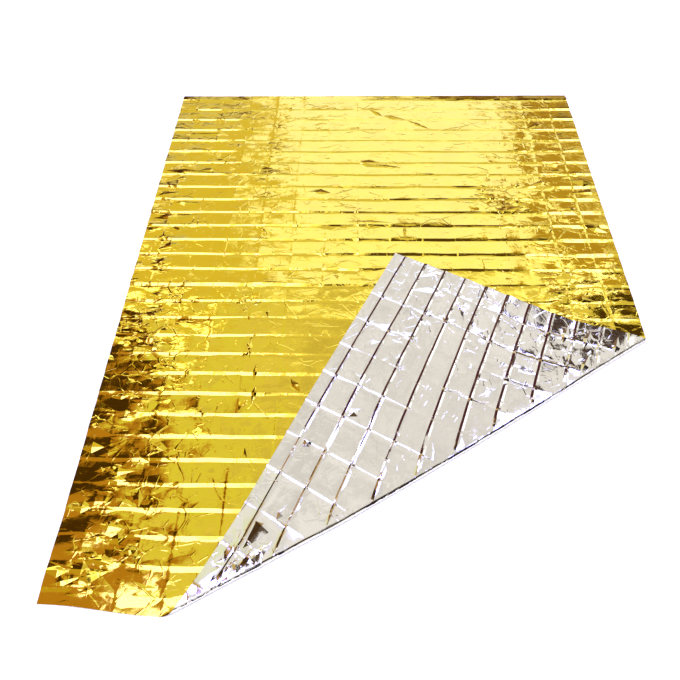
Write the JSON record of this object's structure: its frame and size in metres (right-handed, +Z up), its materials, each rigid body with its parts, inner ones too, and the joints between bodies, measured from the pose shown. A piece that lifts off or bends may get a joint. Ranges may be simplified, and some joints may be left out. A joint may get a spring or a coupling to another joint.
{
  "type": "emergency foil blanket",
  "caption": "Thin two-faced metallised film rescue blanket, opened out flat with packing creases and one corner folded back.",
  "frame": {"origin": "on the floor under the middle of the laid sheet's box", "axes": "+Y along the sheet's length towards its far edge, +X across its width towards the side whose corner is folded back, +Z up"},
  "size_m": [1.6, 2.1185, 0.0189],
  "materials": {
    "gold_film": "mirror-like gold metallised film, finely creased",
    "silver_film": "mirror-like silver metallised film, finely creased"
  },
  "bodies": {
    "root": {"foil_sheet": "gold_film"}
  },
  "joints": []
}
